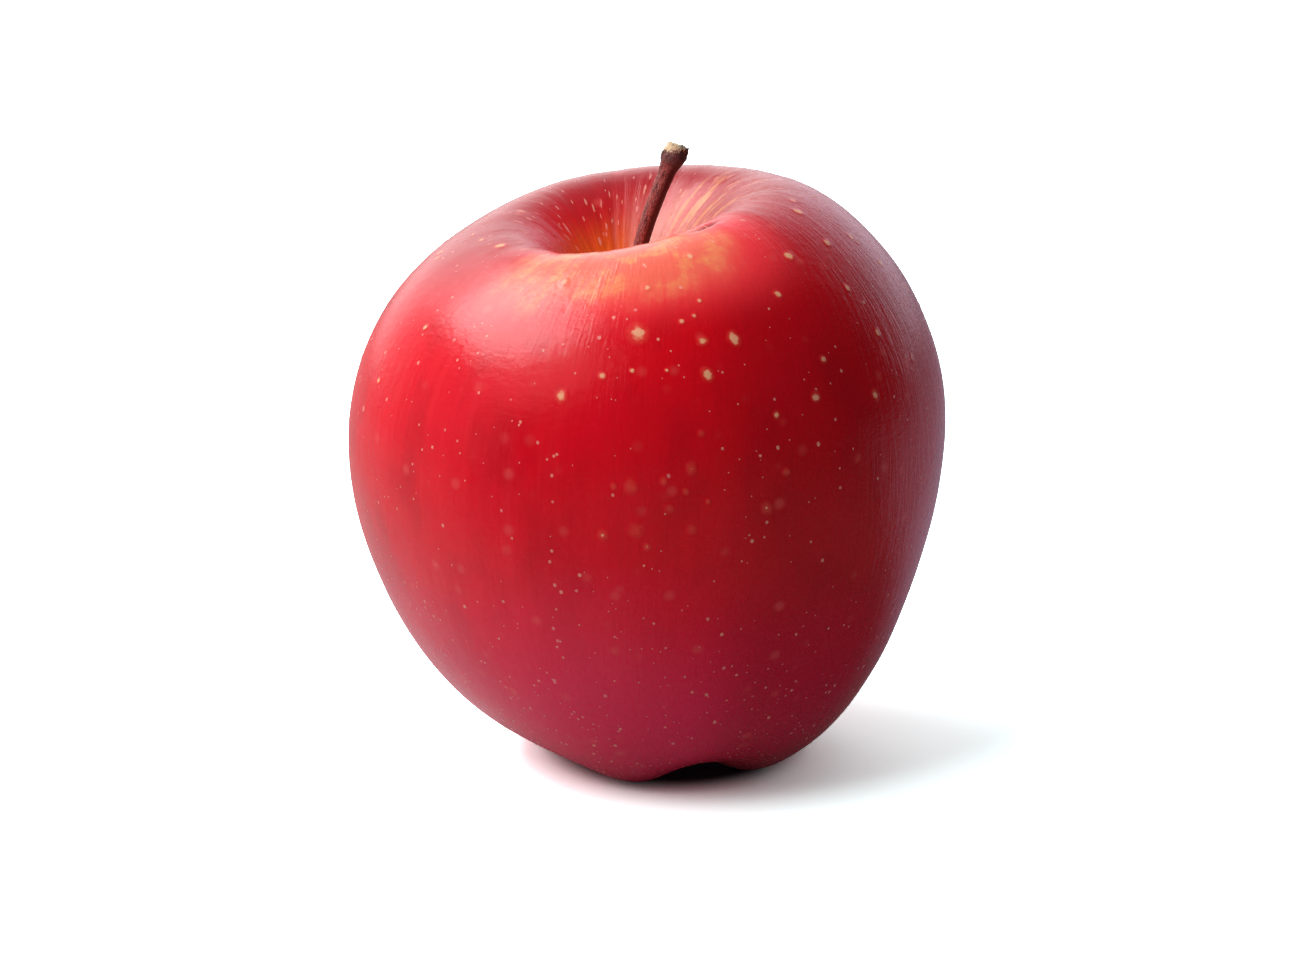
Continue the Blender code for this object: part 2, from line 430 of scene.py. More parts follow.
def bump(tree, height, distance):
    """A normal from a height."""
    return made(tree, "ShaderNodeBump", {"Height": height, "Distance": distance})


# ---------------------------------------------------------------- colour of the skin

# Colours are linear
CRIMSON = (0.75, 0.0008, 0.0080, 1.0)
SCARLET = (0.79, 0.0018, 0.0160, 1.0)
BRIGHT_RED = (0.96, 0.0030, 0.0220, 1.0)
LOW_CRIMSON = (0.80, 0.0070, 0.0860, 1.0)
DEEP_RED = (0.38, 0.0012, 0.0080, 1.0)
# Painted shade and sheen for the rim of the crown
CROWN_SHADE_ROSE = (0.42, 0.0350, 0.0450, 1.0)
WARM_PINK = (0.95, 0.150, 0.095, 1.0)
CORAL = (0.99, 0.040, 0.055, 1.0)
ORANGE_GROUND = (0.90, 0.170, 0.008, 1.0)
YELLOW_GROUND = (0.97, 0.380, 0.130, 1.0)
CAVITY_RED = (0.82, 0.036, 0.036, 1.0)
PALE_STREAK_HIGHLIGHT = (0.86, 0.400, 0.350, 1.0)
CREASE_RED = (0.30, 0.003, 0.012, 1.0)
PINK_BLOTCH = (0.88, 0.120, 0.110, 1.0)
BASIN_GREEN = (0.42, 0.33, 0.06, 1.0)

# Noises of the skin: how the place is stretched, then scale, detail and roughness
SKIN_NOISES = {
    "streaks": ((1.0, 1.0, 0.16), 26.0, 3.0, 0.60),
    "fine streaks": ((1.0, 1.0, 0.10), 70.0, 2.0, 0.55),
    "cavity streaks": ((1.0, 1.0, 2.5), 10.0, 3.0, 0.60),
    "clouds": ((1.0, 1.0, 1.0), 60.0, 2.0, 0.50),
    "breaks": ((1.0, 1.0, 1.0), 160.0, 2.0, 0.50),
    "stains": ((1.0, 1.0, 0.6), 130.0, 2.0, 0.50),
    "patches": ((1.0, 1.0, 0.7), 190.0, 4.0, 0.68),
}
# How much of the colour under it each layer covers where it is strongest
COVER = {
    "solid comb": 0.02,
    "broken comb": 0.08,
    "streaks painted lit": 0.12,
    "dark stains": 0.32,
    "bright stains": 0.22,
    "bright band": 0.45,
    "low crimson": 0.80,
    "painted shade side": 0.48,
    "painted crown shade": 0.90,
    "coral": 0.90,
    "yellow heart": 0.75,
    "cavity red": 0.80,
    "pale wall": 0.90,
    "gold fan": 0.75,
    "deep orange": 0.95,
    "green basin": 0.85,
    "pink spots": 0.36,
}
# The side the lamps light: the skin is painted lighter toward it and painted in shade away from it
LAMP_TURN = math.radians(-60.0)
BAND_TURN = math.radians(-8.0)
BAND_HALF_TURN = math.radians(40.0)
BAND_LEVEL = 24.0 * MM
BAND_WIDTH = 18.0 * MM
BAND_WANDER = 20.0 * MM
LOW_START = 12.0 * MM
LOW_END = 40.0 * MM
LOW_WANDER = 12.0 * MM
CROWN_START = 64.0 * MM
CROWN_FULL = 76.0 * MM
CROWN_LEAN = 5.0 * MM
CROWN_INNER_RING = (9.0 * MM, 18.0 * MM)
CORAL_TURN = math.radians(-3.0)
CORAL_HALF_TURN = math.radians(60.0)
CORAL_RING = 24.5 * MM
CORAL_WIDTH = 12.5 * MM
PATCH_TURN = math.radians(-12.0)
PATCH_HALF_TURN = math.radians(50.0)
PATCH_RING = 22.0 * MM
PATCH_WIDTH = 9.5 * MM
INSIDE_RING = (6.0 * MM, 16.0 * MM)
PALE_WALL_TURN = math.radians(125.0)
FAN_TURN = math.radians(112.0)
FAN_HALF_TURN = math.radians(44.0)
FAN_INNER_RING = (5.0 * MM, 8.0 * MM)
FAN_OUTER_RING = (12.0 * MM, 21.0 * MM)
DEEP_RING = (7.0 * MM, 13.5 * MM)
DEEP_WANDER = 3.0 * MM
BASIN_RING = (5.0 * MM, 11.0 * MM)
BASIN_WANDER = 4.0 * MM
SPOT_SCALE = 300.0
SPOT_EDGE = (0.06, 0.32)
SPOT_CHANCE = (0.45, 0.98)


class SkinPlace:
    """Where a point of the skin lies, and the noises that several layers share."""

    def __init__(self, tree):
        self.tree = tree
        self.flow = shader_vector(tree, "flow")
        self.place = object_place(tree)
        self.side_x, self.side_y, _ = split(tree, self.flow)
        _, _, self.height = split(tree, self.place)
        self.from_cavity = shader_number(tree, "from_cavity")
        self.streaks = self.noise("streaks", self.flow)
        self.clouds = self.noise("clouds", self.place)

    def noise(self, name, vector):
        """One of the skin's noises, over the flow or over the place."""
        stretch, *settings = SKIN_NOISES[name]
        return noise(self.tree, stretched(self.tree, vector, stretch), *settings)

    def facing(self, turn):
        """How far this side of the fruit faces a turn: 1 straight at it, -1 away from it."""
        return self.side_x * math.sin(turn) - self.side_y * math.cos(turn)

    def toward(self, turn, half_turn):
        """1 around a turn, fading to 0 at half_turn to either side of it."""
        edge = math.cos(half_turn)
        return self.facing(turn).ramp(edge, edge * 0.2 + 0.8)


def paint_body(tree, at):
    """Crimson, painted lighter and scarlet on the side the lamps face, combed with streaks and
    stained; on that side the streaks are painted lighter coral.
    """
    # Painted light: scarlet over crimson on the side that faces the lamps
    lamp_facing = at.facing(LAMP_TURN)
    lamp_lit_skin = (lamp_facing + (at.clouds - 0.5) * 0.8).ramp(0.1, 1.1)
    red = mix(tree, lamp_lit_skin, CRIMSON, SCARLET)
    broken = at.noise("breaks", at.place).ramp(0.35, 0.65)
    combed = at.noise("fine streaks", at.flow).ramp(0.42, 0.72)
    combed = combed * (broken * COVER["broken comb"] + COVER["solid comb"])
    red = mix(tree, combed, red, DEEP_RED)
    # Real streaks, painted lighter coral only where the lamps fall
    streaks_painted_lit = (at.streaks + (broken - 0.5) * 0.15).ramp(0.50, 0.72)
    streaks_painted_lit = streaks_painted_lit * lamp_facing.ramp(0.35, 0.95)
    red = mix(tree, streaks_painted_lit * COVER["streaks painted lit"], red, CORAL)

    stains = at.noise("stains", at.place)
    dark_stains = stains.ramp(0.48, 0.72)
    red = mix(tree, dark_stains * COVER["dark stains"], red, DEEP_RED)
    bright_stains = stains.ramp(0.46, 0.26)
    red = mix(tree, bright_stains * COVER["bright stains"], red, BRIGHT_RED)
    band_level = at.height + (stains - 0.5) * BAND_WANDER
    band = at.toward(BAND_TURN, BAND_HALF_TURN) * ridge(band_level, BAND_LEVEL, BAND_WIDTH)
    return mix(tree, band * COVER["bright band"], red, BRIGHT_RED)


def shade_body(tree, at, red):
    """Bluer toward the base, darker on the side away from the lamps as painted shade, and a darker,
    greyer rose round the crown as painted shade and sheen.
    """
    low_level = at.height + (at.clouds - 0.5) * LOW_WANDER
    low = low_level.ramp(LOW_START, LOW_END, 1.0, 0.0)
    red = mix(tree, low * COVER["low crimson"], red, LOW_CRIMSON)
    # Painted shade: deep red on the side turned away from the lamps
    shaded = at.facing(LAMP_TURN).ramp(0.42, 0.06)
    red = mix(tree, shaded * COVER["painted shade side"], red, DEEP_RED)
    # Painted shade and sheen: a darker, greyer rose round the crown, away from the front
    crown = (at.height - at.side_x * CROWN_LEAN).ramp(CROWN_START, CROWN_FULL)
    crown = crown * at.from_cavity.ramp(*CROWN_INNER_RING)
    crown = crown * at.side_y.ramp(-0.9, -0.1)
    return mix(tree, crown * COVER["painted crown shade"], red, CROWN_SHADE_ROSE)


def warm_shoulder(tree, at, red):
    """Warm ground that shows on the front shoulder: coral, then pink, yellow in its middle."""
    coral = at.toward(CORAL_TURN, CORAL_HALF_TURN) * ridge(at.from_cavity, CORAL_RING, CORAL_WIDTH)
    red = mix(tree, coral.ramp(0.1, 0.9) * COVER["coral"], red, CORAL)
    patch = at.toward(PATCH_TURN, PATCH_HALF_TURN) * ridge(at.from_cavity, PATCH_RING, PATCH_WIDTH)
    patches = at.noise("patches", at.place)
    ragged = at.streaks * 0.25 + at.clouds * 0.45 + patches * 0.4
    ragged = ragged.ramp(0.42, 0.68)
    blush = (patch * (ragged * 0.5 + 0.75)).ramp(0.08, 0.80)
    warm = mix(tree, blush.least(1.0), red, WARM_PINK)
    heart = patch * (patches + (at.streaks - 0.5) * 0.25).ramp(0.38, 0.70)
    heart = heart.ramp(0.10, 0.95) * COVER["yellow heart"]
    return mix(tree, heart, warm, YELLOW_GROUND)


def paint_cavity(tree, at, warm):
    """Inside of the cavity: orange at the stem, pale and streaked on its right-hand wall, where the
    pale is partly the wall's own streaks, partly a painted highlight.
    """
    streaks = at.noise("cavity streaks", at.flow)
    inside = at.from_cavity.ramp(*INSIDE_RING, 1.0, 0.0)
    # The pale wall faces the lamps: its pale streaks carry a painted highlight
    pale_wall = (at.facing(PALE_WALL_TURN) + (streaks - 0.5) * 0.7).ramp(0.15, 0.85)
    warm = mix(tree, inside * COVER["cavity red"], warm, CAVITY_RED)
    pale = inside * pale_wall * streaks.ramp(0.30, 0.58, 0.45, 1.0)
    warm = mix(tree, pale * COVER["pale wall"], warm, PALE_STREAK_HIGHLIGHT)
    mouth = at.from_cavity.ramp(*FAN_INNER_RING)
    mouth = mouth * at.from_cavity.ramp(*FAN_OUTER_RING, 1.0, 0.0)
    fan = streaks.ramp(0.50, 0.60) * mouth * at.toward(FAN_TURN, FAN_HALF_TURN)
    warm = mix(tree, fan * COVER["gold fan"], warm, YELLOW_GROUND)
    deep = (at.from_cavity + at.streaks * DEEP_WANDER).ramp(*DEEP_RING, 1.0, 0.0)
    deep = deep * (1.0 - pale_wall * 0.75) * COVER["deep orange"]
    return mix(tree, deep, warm, ORANGE_GROUND)


def add_marks(tree, at, warm):
    """Green in the calyx basin, pale spots under the skin, and the dark crease."""
    from_base = shader_number(tree, "from_base")
    basin = (from_base + at.streaks * BASIN_WANDER).ramp(*BASIN_RING, 1.0, 0.0)
    warm = mix(tree, basin * COVER["green basin"], warm, BASIN_GREEN)
    cells = {"Vector": at.place, "Scale": SPOT_SCALE, "Randomness": 1.0}
    spots = add_node(tree, "ShaderNodeTexVoronoi", cells)
    spot = Field(tree, spots.outputs["Distance"]).ramp(*SPOT_EDGE, 1.0, 0.0)
    chance = made(tree, "ShaderNodeSeparateColor", {"Color": spots.outputs["Color"]})
    shown = Field(tree, chance).ramp(*SPOT_CHANCE)
    warm = mix(tree, spot * shown * COVER["pink spots"], warm, PINK_BLOTCH)
    crease = shader_number(tree, "crease")
    return mix(tree, (crease * 1.4).least(1.0), warm, CREASE_RED)


def make_ground_colour():
    """The colour of the skin under its dots, from where a point lies on the fruit."""
    tree, _, result = new_group("skin_ground_colour", {}, {"Colour": "NodeSocketColor"})
    at = SkinPlace(tree)
    colour = paint_body(tree, at)
    for layer in (shade_body, warm_shoulder, paint_cavity, add_marks):
        colour = layer(tree, at, colour)
    tree.links.new(colour, result.inputs["Colour"])
    return tree


# ---------------------------------------------------------------- wax and dot materials

WAX_IOR = 1.45
WAX_ROUGHNESS = (0.235, 0.265)
WAX_RELIEF_DEPTH = 0.026 * MM
DRY_SIDE = Vector((0.9, -0.2, 0.0))
DRY_WRINKLES = 2.2
PLAIN_WRINKLES = 1.7
DOT_CREAM = (0.96, 0.55, 0.27, 1.0)
DOT_PINK = (0.92, 0.34, 0.36, 1.0)
DOT_HALO = (0.92, 0.13, 0.08, 1.0)


def make_wax_finish():
    """The waxed skin's relief and gloss: wrinkles along the flow, more on the side that has
    begun to dry, then ripples and a fine orange-peel grain."""
    tree, source, result = new_group(
        "wax_finish",
        {"Wrinkles": "NodeSocketFloat"},
        {"Normal": "NodeSocketVector", "Roughness": "NodeSocketFloat"},
    )
    flow = shader_vector(tree, "flow")
    place = object_place(tree)
    side_x, side_y, _ = split(tree, flow)
    dry = (side_x * DRY_SIDE.x + side_y * DRY_SIDE.y).ramp(0.55, 1.0)
    amount = dry * DRY_WRINKLES + Field(tree, source.outputs["Wrinkles"])
    wrinkles = noise(tree, stretched(tree, flow, (1.0, 1.0, 0.30)), 60.0, 3.0, 0.6, 0.5)
    grain = noise(tree, place, 2400.0, 2.0, 0.6)
    ripples = noise(tree, stretched(tree, place, (1.0, 1.0, 2.2)), 620.0, 3.0, 0.6, 0.4)
    height = wrinkles * amount + grain * 0.20 + ripples * 2.2
    tree.links.new(bump(tree, height, WAX_RELIEF_DEPTH), result.inputs["Normal"])
    rough = noise(tree, place, 1600.0, 2.0).ramp(0.3, 0.7, *WAX_ROUGHNESS)
    feed(tree, result.inputs["Roughness"], rough)
    return tree


def wax_over(tree, shader, finish):
    """Lay the waxy finish over a colour, and give back its roughness."""
    waxed = place_group(tree, finish, {"Wrinkles": PLAIN_WRINKLES})
    tree.links.new(waxed.outputs["Normal"], shader.inputs["Normal"])
    shader.inputs["IOR"].default_value = WAX_IOR
    return Field(tree, waxed.outputs["Roughness"])


def make_skin(ground, finish):
    """Waxy red skin."""
    material, tree, shader = new_material("apple_skin")
    colour = place_group(tree, ground).outputs["Colour"]
    tree.links.new(colour, shader.inputs["Base Color"])
    feed(tree, shader.inputs["Roughness"], wax_over(tree, shader, finish))
    return material


def make_dot_material(ground, finish):
    """Corky skin dots: cream in the middle, a warm halo, and the skin's own colour at the rim."""
    material, tree, shader = new_material("dot_cork")
    place = object_place(tree)
    skin_colour = place_group(tree, ground).outputs["Colour"]
    pale = shader_number(tree, "paleness")
    core = shader_number(tree, "core_share")
    ragged = shader_number(tree, "rim") + (noise(tree, place, 1200.0, 3.0, 0.6) - 0.5) * 0.8
    halo = ragged.ramp(core * 0.6, 0.95, 1.0, 0.0)
    colour = mix(tree, halo * pale * 0.42, skin_colour, DOT_HALO)
    heart = ragged.ramp(core * 0.55, core * 1.15, 1.0, 0.0)
    cork = mix(tree, pale, DOT_PINK, DOT_CREAM)
    colour = mix(tree, heart * (pale * 0.30 + 0.48), colour, cork)
    tree.links.new(colour, shader.inputs["Base Color"])
    feed(tree, shader.inputs["Roughness"], wax_over(tree, shader, finish) + heart * 0.18)
    return material


# ---------------------------------------------------------------- skin dots

DOT_CORNERS = 12
DOT_SINK = 0.006 * MM
HALO_SPREAD = 0.95
CAVITY_FLOOR_LEVEL = 55.0 * MM
SKIN_VALUES = {
    "flow": "FLOAT_VECTOR",
    "from_cavity": "FLOAT",
    "from_base": "FLOAT",
    "crease": "FLOAT",
}
FINE_DOTS = {
    "Density": 260000.0,
    "Smallest": 0.12 * MM,
    "Largest": 0.38 * MM,
    "Core Share": 0.75,
    "Paleness": 0.30,
    "Drawn Out": 1.15,
    "Height": 0.02 * MM,
    "Rounds": 0,
    "Seed": 7,
}
BROAD_DOTS = {
    "Density": 16000.0,
    "Smallest": 0.45 * MM,
    "Largest": 1.20 * MM,
    "Core Share": 0.42,
    "Paleness": 0.75,
    "Drawn Out": 1.1,
    "Height": 0.05 * MM,
    "Rounds": 1,
    "Seed": 11,
}
CAVITY_DASHES = {
    "Density": 300000.0,
    "Smallest": 0.13 * MM,
    "Largest": 0.36 * MM,
    "Core Share": 0.55,
    "Paleness": 0.30,
    "Drawn Out": 5.0,
    "Height": 0.02 * MM,
    "Rounds": 1,
    "Seed": 5,
}
FINE_LEVELS = (4.0 * MM, 40.0 * MM)
FINE_RING = (16.0 * MM, 24.0 * MM)
BROAD_LEVELS = (40.0 * MM, 58.0 * MM)
BROAD_RING = (16.0 * MM, 22.0 * MM)
DASH_INNER_RING = (7.0 * MM, 11.0 * MM)
DASH_OUTER_RING = (14.0 * MM, 25.0 * MM)


def random_value(tree, low, high, seed):
    """A random number for each point."""
    node = add_node(tree, "FunctionNodeRandomValue", {2: low, 3: high, "Seed": seed})
    return Field(tree, node.outputs[1])


def skin_value(tree, skin, value, kind):
    """A value of the skin at its point nearest to each point here."""
    inputs = {"Mesh": skin, "Value": value}
    return made(tree, "GeometryNodeSampleNearestSurface", inputs, data_type=kind)


def press_onto(tree, dots, skin, height):
    """Lay realized dots on the skin, domed in the middle and with the rim just under it."""
    rim = Field(tree, named_attribute(tree, "rim"))
    on_skin = skin_value(tree, skin, position(tree), "FLOAT_VECTOR")
    outward = skin_value(tree, skin, normal(tree), "FLOAT_VECTOR")
    lift = (1.0 - rim * rim) * (height + DOT_SINK) - DOT_SINK
    raised = {0: outward, 1: combine(tree, lift, lift, lift), 2: on_skin}
    raised = made(tree, "ShaderNodeVectorMath", raised, operation="MULTIPLY_ADD")
    laid = move(tree, dots, Position=raised)
    for name, kind in SKIN_VALUES.items():
        value = skin_value(tree, skin, named_attribute(tree, name, kind), kind)
        laid = store(tree, laid, name, value, kind)
    return laid


def dots_at(tree, points, skin, radius, drawn, size):
    """Round dots on points, drawn out toward the cavity, laid on the skin."""
    outline = {"Vertices": DOT_CORNERS, "Radius": 1.0}
    disc = made(tree, "GeometryNodeMeshCircle", outline, fill_type="TRIANGLE_FAN")
    disc = made(tree, "GeometryNodeSubdivideMesh", {"Mesh": disc, "Level": size["Rounds"]})
    x, y, _ = split(tree, position(tree))
    disc = store(tree, disc, "rim", (x * x + y * y) ** 0.5)

    from_cavity = {0: position(tree), 1: (CAVITY_MIDDLE.x, CAVITY_MIDDLE.y, CAVITY_FLOOR_LEVEL)}
    away = made(tree, "ShaderNodeVectorMath", from_cavity, operation="SUBTRACT")
    facing = {"Vector": skin_value(tree, skin, normal(tree), "FLOAT_VECTOR")}
    upright = made(tree, "FunctionNodeAlignRotationToVector", facing, axis="Z")
    turning = {"Rotation": upright, "Vector": away}
    aligned = made(
        tree, "FunctionNodeAlignRotationToVector", turning, axis="X", pivot_axis="Z"
    )
    copies = {
        "Points": points,
        "Instance": disc,
        "Rotation": aligned,
        "Scale": combine(tree, radius * drawn, radius, radius),
    }
    placed = made(tree, "GeometryNodeInstanceOnPoints", copies)
    real = made(tree, "GeometryNodeRealizeInstances", {"Geometry": placed})
    return press_onto(tree, real, skin, size["Height"])


def where_fine(z, from_cavity, _):
    """Many near the base, fewer toward the shoulder, none inside the cavity."""
    low = z.ramp(*FINE_LEVELS, 1.0, 0.20)
    return low * from_cavity.ramp(*FINE_RING)


def where_broad(z, from_cavity, side_y):
    """On the upper half, away from the front, whose broad dots are placed one by one."""
    outside = from_cavity.ramp(*BROAD_RING)
    off_front = side_y.ramp(-0.55, -0.30)
    return z.ramp(*BROAD_LEVELS) * outside * off_front


def where_dashes(_, from_cavity, side_y):
    """Round the cavity's mouth and down its wall, densest behind."""
    ring = from_cavity.ramp(*DASH_INNER_RING)
    ring = ring * from_cavity.ramp(*DASH_OUTER_RING, 1.0, 0.0)
    return ring * side_y.ramp(-0.8, 0.2, 0.15, 1.0)


def scattered_dots(where):
    """A builder of dots strewn over the skin with a density rule of their own."""

    def build(tree, skin, size):
        _, _, z = split(tree, position(tree))
        _, side_y, _ = split(tree, named_attribute(tree, "flow", "FLOAT_VECTOR"))
        from_cavity = Field(tree, named_attribute(tree, "from_cavity"))
        density = where(z, from_cavity, side_y) * size["Density"]
        strewn = {"Mesh": skin, "Density": density, "Seed": size["Seed"]}
        points = made(tree, "GeometryNodeDistributePointsOnFaces", strewn)
        choice = random_value(tree, 0.0, 1.0, 3)
        radius = size["Smallest"] + (size["Largest"] - size["Smallest"]) * choice ** 3.0
        pale = random_value(tree, 0.3, 1.7, 5) * size["Paleness"]
        points = store(tree, points, "paleness", pale.least(1.0))
        points = store(tree, points, "core_share", size["Core Share"])
        drawn = (size["Drawn Out"] - 1.0) * random_value(tree, 0.4, 1.3, 9) + 1.0
        return dots_at(tree, points, skin, radius, drawn, size)

    return build


def build_chosen_dots(tree, places, size):
    """Dots at chosen places, each with a radius and a core of its own."""
    skin = add_node(tree, "GeometryNodeObjectInfo", {"Object": size["Skin"]}).outputs["Geometry"]
    points = made(tree, "GeometryNodeMeshToPoints", {"Mesh": places})
    radius = Field(tree, named_attribute(tree, "dot_radius"))
    points = store(tree, points, "paleness", random_value(tree, 0.65, 1.0, 5))
    points = store(tree, points, "core_share", named_attribute(tree, "dot_core"))
    return dots_at(tree, points, skin, radius, random_value(tree, 1.0, 1.35, 9), size)


OUTSIDE_REACH = 0.1
CHOSEN_DOTS = {"Height": 0.06 * MM, "Rounds": 2}
# Larger dots: turn from the front and height angle from the belly's middle, degrees; width, mm
LARGE_DOTS = (
    (-2, 40, 1.9), (12, 38, 1.1), (19, 38, 1.2), (12, 32, 1.1),
    (-9, 32, 0.8), (-17, 28, 1.3), (0, 50, 0.9), (14, 57, 0.8),
    (-3, 33, 0.5), (4, 33, 0.4), (8, 42, 0.6), (11, 43, 0.5),
    (13, 46, 0.5), (-26, 52, 1.0), (43, 52, 1.2), (33, 45, 0.8),
    (54, 43, 0.7), (60, 52, 0.9), (65, 60, 1.0), (38, 32, 0.8),
    (56, 34, 0.8), (49, 24, 0.9), (25, 24, 0.7), (34, 26, 1.0),
)
LARGE_DOT_CORE = 0.46
# Dots under the skin, which show as soft pink blots: the same three values
MUTED_DOTS = (
    (10, 22, 0.7), (-6, 13, 0.6), (-3, 13, 1.2), (3, 14, 0.7),
    (8, 16, 1.0), (7, 12, 0.6), (4, 9, 0.9), (11, 10, 0.5),
    (-2, 5, 1.4), (8, 5, 0.9), (-8, 4, 1.1), (0, 2, 0.7),
    (22, 8, 1.1), (26, 14, 0.8),
)
MUTED_DOT_CORE = 0.03


def place_chosen_dots(skin):
    """Points on the skin for the chosen dots, each with its radius and its core's share."""
    tree = BVHTree.FromObject(skin, bpy.context.evaluated_depsgraph_get())
    middle = UP * FRUIT_SIZES["Belly Level"]
    spots = []
    for turn, height_angle, _ in LARGE_DOTS + MUTED_DOTS:
        turn = math.radians(turn)
        rise = math.radians(height_angle)
        level = math.cos(rise)
        outward = Vector((math.sin(turn) * level, -math.cos(turn) * level, math.sin(rise)))
        spots.append(tree.ray_cast(middle + outward * OUTSIDE_REACH, -outward)[0])
    mesh = bpy.data.meshes.new("chosen_dot_places")
    mesh.from_pydata(spots, [], [])
    kept = {
        "dot_radius": [width * HALO_SPREAD * MM for _, _, width in LARGE_DOTS + MUTED_DOTS],
        "dot_core": [LARGE_DOT_CORE] * len(LARGE_DOTS) + [MUTED_DOT_CORE] * len(MUTED_DOTS),
    }
    for name, values in kept.items():
        mesh.attributes.new(name, "FLOAT", "POINT").data.foreach_set("value", values)
    return mesh


# ---------------------------------------------------------------- stem

STEM_FOOT = Vector((-2.8 * MM, 0.1 * MM, 59.2 * MM))
STEM_TIP = Vector((4.0 * MM, 0.3 * MM, 82.0 * MM))
STEM_SIZES = {
    "Sides": 72,
    "Rings": 260,
    "End Rings": 8,
    "Bow": 1.0 * MM,
    "Foot Radius": 0.80 * MM,
    "Tip Radius": 1.15 * MM,
    "Knob Swell": 0.5 * MM,
    "Knob Start": 0.84,
    "Bark Depth": 0.10 * MM,
}
KNOB_FULL = 0.95
KNOB_GREY_SHARE = (0.86, 0.93)
BREAK_SHARE = (0.90, 1.0)
BREAK_LEAN = Vector((1.6 * MM, 0.0, 1.2 * MM))
TORN_SHARE = (0.985, 1.0)
TORN_DEPTH = 0.05
BARK_DARK_AND_SHADE = (0.040, 0.008, 0.009, 1.0)
BARK_RED = (0.34, 0.060, 0.055, 1.0)
BARK_PALE = (0.66, 0.30, 0.27, 1.0)
KNOB_GREY = (0.090, 0.055, 0.050, 1.0)
BREAK_CREAM = (0.80, 0.58, 0.36, 1.0)


def build_stem(tree, _, size):
    """The stalk: a bowed, slowly widening rod with a knob at its tip and rough bark."""
    rings = {
        "Vertices": size["Sides"],
        "Side Segments": size["Rings"],
        "Fill Segments": size["End Rings"],
        "Radius": 1.0,
        "Depth": 1.0,
    }
    rod = made(tree, "GeometryNodeMeshCylinder", rings, fill_type="TRIANGLE_FAN")
    x, y, z = split(tree, position(tree))
    share = z + 0.5
    reach = (x * x + y * y) ** 0.5
    swell = share.ramp(size["Knob Start"], KNOB_FULL)
    fall = (share - KNOB_FULL).most(0.0) / (1.0 - KNOB_FULL)
    slim = size["Foot Radius"] + (size["Tip Radius"] - size["Foot Radius"]) * share
    radius = slim + size["Knob Swell"] * (swell - fall * 0.6)

    angle = x.math("ARCTAN2", y)
    bark_place = combine(tree, angle.sin(), angle.cos(), share * 6.0)
    grooves = noise(tree, stretched(tree, bark_place, (1.0, 1.0, 0.5)), 2.6, 3.0, 0.6) - 0.5
    pits = noise(tree, bark_place, 7.0, 3.0, 0.65) - 0.5
    relief = (grooves * 1.6 + pits * 1.6) * size["Bark Depth"] * reach
    knob_rough = (noise(tree, bark_place, 2.6, 3.0) - 0.5) * swell * size["Knob Swell"] * 2.0
    radius = radius + relief + knob_rough * reach

    torn = noise(tree, combine(tree, x, y, 0.0), 3.5, 3.0) - 0.45
    torn = torn * share.ramp(*TORN_SHARE) * TORN_DEPTH
    lean = STEM_TIP - STEM_FOOT
    bow = (share * math.pi).sin() * size["Bow"]
    side = Vector((lean.z, 0.0, -lean.x)).normalized()
    out_x = x * radius
    out_y = y * radius
    along = share + torn
    stem_x = along * lean.x + STEM_FOOT.x - bow + out_x * side.x
    stem_y = along * lean.y + STEM_FOOT.y + out_y
    stem_z = along * lean.z + STEM_FOOT.z + out_x * side.z
    kept = store(tree, rod, "bark_place", bark_place, "FLOAT_VECTOR")
    kept = store(tree, kept, "share", share)
    return move(tree, kept, Position=combine(tree, stem_x, stem_y, stem_z))


def make_bark():
    """Red-brown bark, pitted and paler in flecks, with a cream break at the tip; redder and flecked
    on its left as painted light, near black on its right as painted shade.
    """
    material, tree, shader = new_material("stem_bark")
    place = shader_vector(tree, "bark_place")
    share = shader_number(tree, "share")
    blotches = noise(tree, place, 3.0, 3.0, 0.6)
    flecks = noise(tree, place, 10.0, 3.0, 0.7)
    away, _, _ = split(tree, place)
    # Painted light and shade: the left of the stalk lit, red and flecked, the right in shade, near
    # black
    painted_lit_bark = (away + (blotches - 0.5) * 0.8).ramp(-0.15, 0.45, 1.0, 0.0)
    reddish = blotches.ramp(0.30, 0.60) * (painted_lit_bark * 0.85 + 0.15)
    colour = mix(tree, reddish, BARK_DARK_AND_SHADE, BARK_RED)
    pale = flecks.ramp(0.50, 0.64) * painted_lit_bark * 0.75
    colour = mix(tree, pale, colour, BARK_PALE)
    colour = mix(tree, share.ramp(*KNOB_GREY_SHARE) * 0.6, colour, KNOB_GREY)
    x, _, z = split(tree, object_place(tree))
    leftward = (STEM_TIP.x - x) / BREAK_LEAN.x + (z - STEM_TIP.z) / BREAK_LEAN.z
    crumbs = noise(tree, object_place(tree), 2600.0, 3.0, 0.65)
    edge = share.ramp(*BREAK_SHARE) * 1.2 + leftward * 0.30 + (crumbs - 0.5) * 1.6
    colour = mix(tree, edge.ramp(0.95, 1.30), colour, BREAK_CREAM)
    tree.links.new(colour, shader.inputs["Base Color"])
    feed(tree, shader.inputs["Roughness"], flecks.ramp(0.3, 0.7, 0.55, 0.8))
    tree.links.new(bump(tree, flecks, 0.05 * MM), shader.inputs["Normal"])
    return material


# ---------------------------------------------------------------- sepals and stamens

